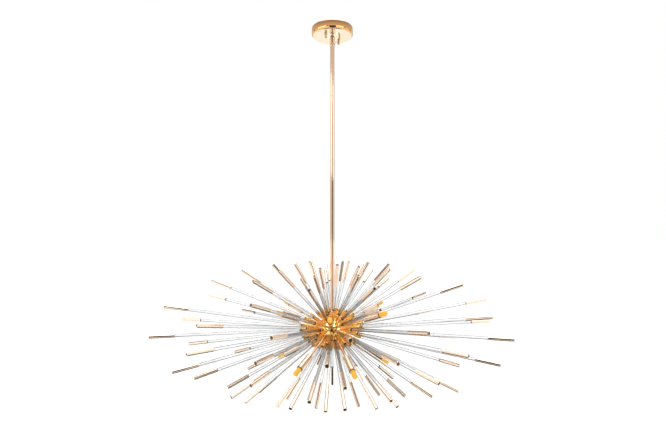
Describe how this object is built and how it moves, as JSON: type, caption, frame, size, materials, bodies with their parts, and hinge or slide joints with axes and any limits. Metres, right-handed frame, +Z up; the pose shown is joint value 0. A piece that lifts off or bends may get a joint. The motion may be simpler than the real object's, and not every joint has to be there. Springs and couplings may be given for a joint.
{
  "type": "multi arm chandelier",
  "caption": "Oval burst chandelier: clear glass rods with rose gold sleeves and small lamps radiate from a hub on a jointed stem below a round canopy.",
  "frame": {"origin": "centre of the ceiling plane, on the canopy's axis and between the two outlet box screws", "axes": "+Z up along the stem, +X along the long axis of the burst"},
  "size_m": [0.9898, 0.6802, 1.0657],
  "materials": {
    "rose_gold": "polished rose gold plate",
    "gold_hub": "polished rose gold plate, warm from the bulbs",
    "clear_glass": "clear, polished",
    "warm_bulb": "frosted, glowing amber",
    "zinc_steel": "bright zinc plate",
    "black_steel": "black oxide",
    "ground_green": "green zinc plate",
    "nylon": "natural nylon",
    "lead_sheath": "smooth insulation",
    "connector_plastic": "moulded",
    "porcelain": "glazed white"
  },
  "bodies": {
    "root": {"canopy_pan": "rose_gold", "outlet_box_strap": "zinc_steel", "canopy_strap": "zinc_steel", "canopy_studs": "zinc_steel", "cap_nuts": "rose_gold", "ground_screw": "ground_green", "nipple": "zinc_steel", "lock_washer": "zinc_steel", "swivel_socket": "zinc_steel", "swivel_cap": "zinc_steel", "canopy_lead": "lead_sheath", "wire_connectors": "connector_plastic"},
    "liner": {"ball_liner": "nylon"},
    "pendant": {"swivel_ball": "zinc_steel", "stem_collar": "rose_gold", "collar_screws": "black_steel", "stem_upper": "rose_gold", "stem_middle": "rose_gold", "stem_lower": "rose_gold", "hub_stub": "rose_gold", "stem_couplers": "zinc_steel", "hub_body": "gold_hub", "hub_cover": "rose_gold", "finial_nut": "rose_gold", "finial_stud": "zinc_steel", "stem_lead": "lead_sheath", "terminal_block": "nylon", "lamp_leads": "lead_sheath", "lamp_arms": "rose_gold", "lamp_holders": "rose_gold", "lamp_sockets": "porcelain", "ferrules_crown": "gold_hub", "ferrules_shoulder": "gold_hub", "ferrules_upper_waist": "gold_hub", "ferrules_waist": "gold_hub", "ferrules_lower_waist": "gold_hub", "ferrules_belly": "gold_hub", "ferrules_keel": "gold_hub", "rods_crown": "clear_glass", "rods_shoulder": "clear_glass", "rods_upper_waist": "clear_glass", "rods_waist": "clear_glass", "rods_lower_waist": "clear_glass", "rods_belly": "clear_glass", "rods_keel": "clear_glass", "sleeves_upper": "rose_gold", "sleeves_waist": "rose_gold", "sleeves_lower": "rose_gold"},
    "bulb_1": {"bulb_1": "warm_bulb"},
    "bulb_2": {"bulb_2": "warm_bulb"},
    "bulb_3": {"bulb_3": "warm_bulb"},
    "bulb_4": {"bulb_4": "warm_bulb"},
    "bulb_5": {"bulb_5": "warm_bulb"},
    "bulb_6": {"bulb_6": "warm_bulb"},
    "bulb_7": {"bulb_7": "warm_bulb"},
    "bulb_8": {"bulb_8": "warm_bulb"},
    "bulb_9": {"bulb_9": "warm_bulb"},
    "bulb_10": {"bulb_10": "warm_bulb"},
    "bulb_11": {"bulb_11": "warm_bulb"},
    "bulb_12": {"bulb_12": "warm_bulb"}
  },
  "joints": [
    {"name": "swivel_tilt_x", "type": "hinge", "parent": "root", "child": "liner", "pos_m": [0, 0, -0.016], "axis": [1, 0, 0], "range_deg": [-10, 10]},
    {"name": "swivel_tilt_y", "type": "hinge", "parent": "liner", "child": "pendant", "pos_m": [0, 0, -0.016], "axis": [0, 1, 0], "range_deg": [-10, 10]},
    {"name": "bulb_1_pull", "type": "slide", "parent": "pendant", "child": "bulb_1", "axis": [0.8297, 0.4412, 0.342], "range_m": [0, 0.015]},
    {"name": "bulb_2_pull", "type": "slide", "parent": "pendant", "child": "bulb_2", "axis": [0.0328, 0.9391, 0.342], "range_m": [0, 0.015]},
    {"name": "bulb_3_pull", "type": "slide", "parent": "pendant", "child": "bulb_3", "axis": [-0.7969, 0.498, 0.342], "range_m": [0, 0.015]},
    {"name": "bulb_4_pull", "type": "slide", "parent": "pendant", "child": "bulb_4", "axis": [-0.8297, -0.4412, 0.342], "range_m": [0, 0.015]},
    {"name": "bulb_5_pull", "type": "slide", "parent": "pendant", "child": "bulb_5", "axis": [-0.0328, -0.9391, 0.342], "range_m": [0, 0.015]},
    {"name": "bulb_6_pull", "type": "slide", "parent": "pendant", "child": "bulb_6", "axis": [0.7969, -0.498, 0.342], "range_m": [0, 0.015]},
    {"name": "bulb_7_pull", "type": "slide", "parent": "pendant", "child": "bulb_7", "axis": [0.5332, 0.6824, -0.5], "range_m": [0, 0.015]},
    {"name": "bulb_8_pull", "type": "slide", "parent": "pendant", "child": "bulb_8", "axis": [-0.3244, 0.803, -0.5], "range_m": [0, 0.015]},
    {"name": "bulb_9_pull", "type": "slide", "parent": "pendant", "child": "bulb_9", "axis": [-0.8576, 0.1205, -0.5], "range_m": [0, 0.015]},
    {"name": "bulb_10_pull", "type": "slide", "parent": "pendant", "child": "bulb_10", "axis": [-0.5332, -0.6824, -0.5], "range_m": [0, 0.015]},
    {"name": "bulb_11_pull", "type": "slide", "parent": "pendant", "child": "bulb_11", "axis": [0.3244, -0.803, -0.5], "range_m": [0, 0.015]},
    {"name": "bulb_12_pull", "type": "slide", "parent": "pendant", "child": "bulb_12", "axis": [0.8576, -0.1205, -0.5], "range_m": [0, 0.015]}
  ]
}
